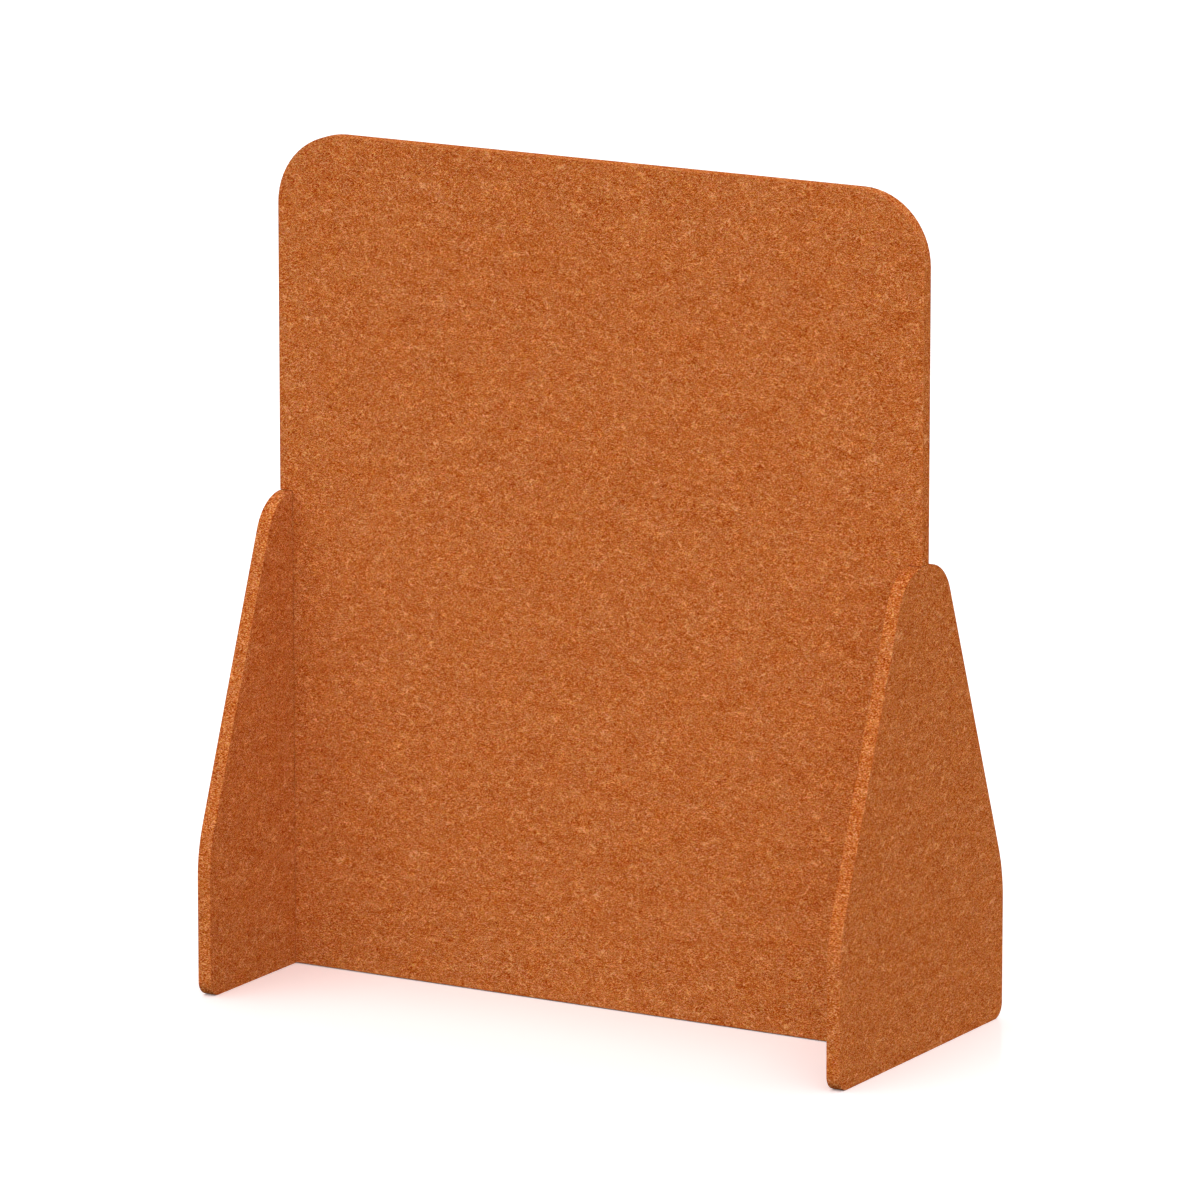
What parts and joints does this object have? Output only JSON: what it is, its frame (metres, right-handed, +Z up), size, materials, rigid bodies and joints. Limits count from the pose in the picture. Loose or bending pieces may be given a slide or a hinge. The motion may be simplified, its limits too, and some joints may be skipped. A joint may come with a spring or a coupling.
{
  "type": "acoustic divider screen",
  "caption": "Free-standing felt divider screen: a rounded upright panel drops onto tapering end feet by dovetailed edges.",
  "frame": {"origin": "on the floor, at the middle of the screen", "axes": "+Z up, +X along the panel towards the right foot, +Y through the panel's thickness to the back"},
  "size_m": [1.2, 0.55, 1.4015],
  "materials": {
    "panel_felt": "matte",
    "foot_felt": "matte"
  },
  "bodies": {
    "feet": {"left_foot": "foot_felt", "right_foot": "foot_felt"},
    "panel": {"centre_panel": "panel_felt"}
  },
  "joints": [
    {"name": "panel_lift", "type": "slide", "parent": "feet", "child": "panel", "axis": [0, 0, 1], "range_m": [0, 0.82]}
  ]
}
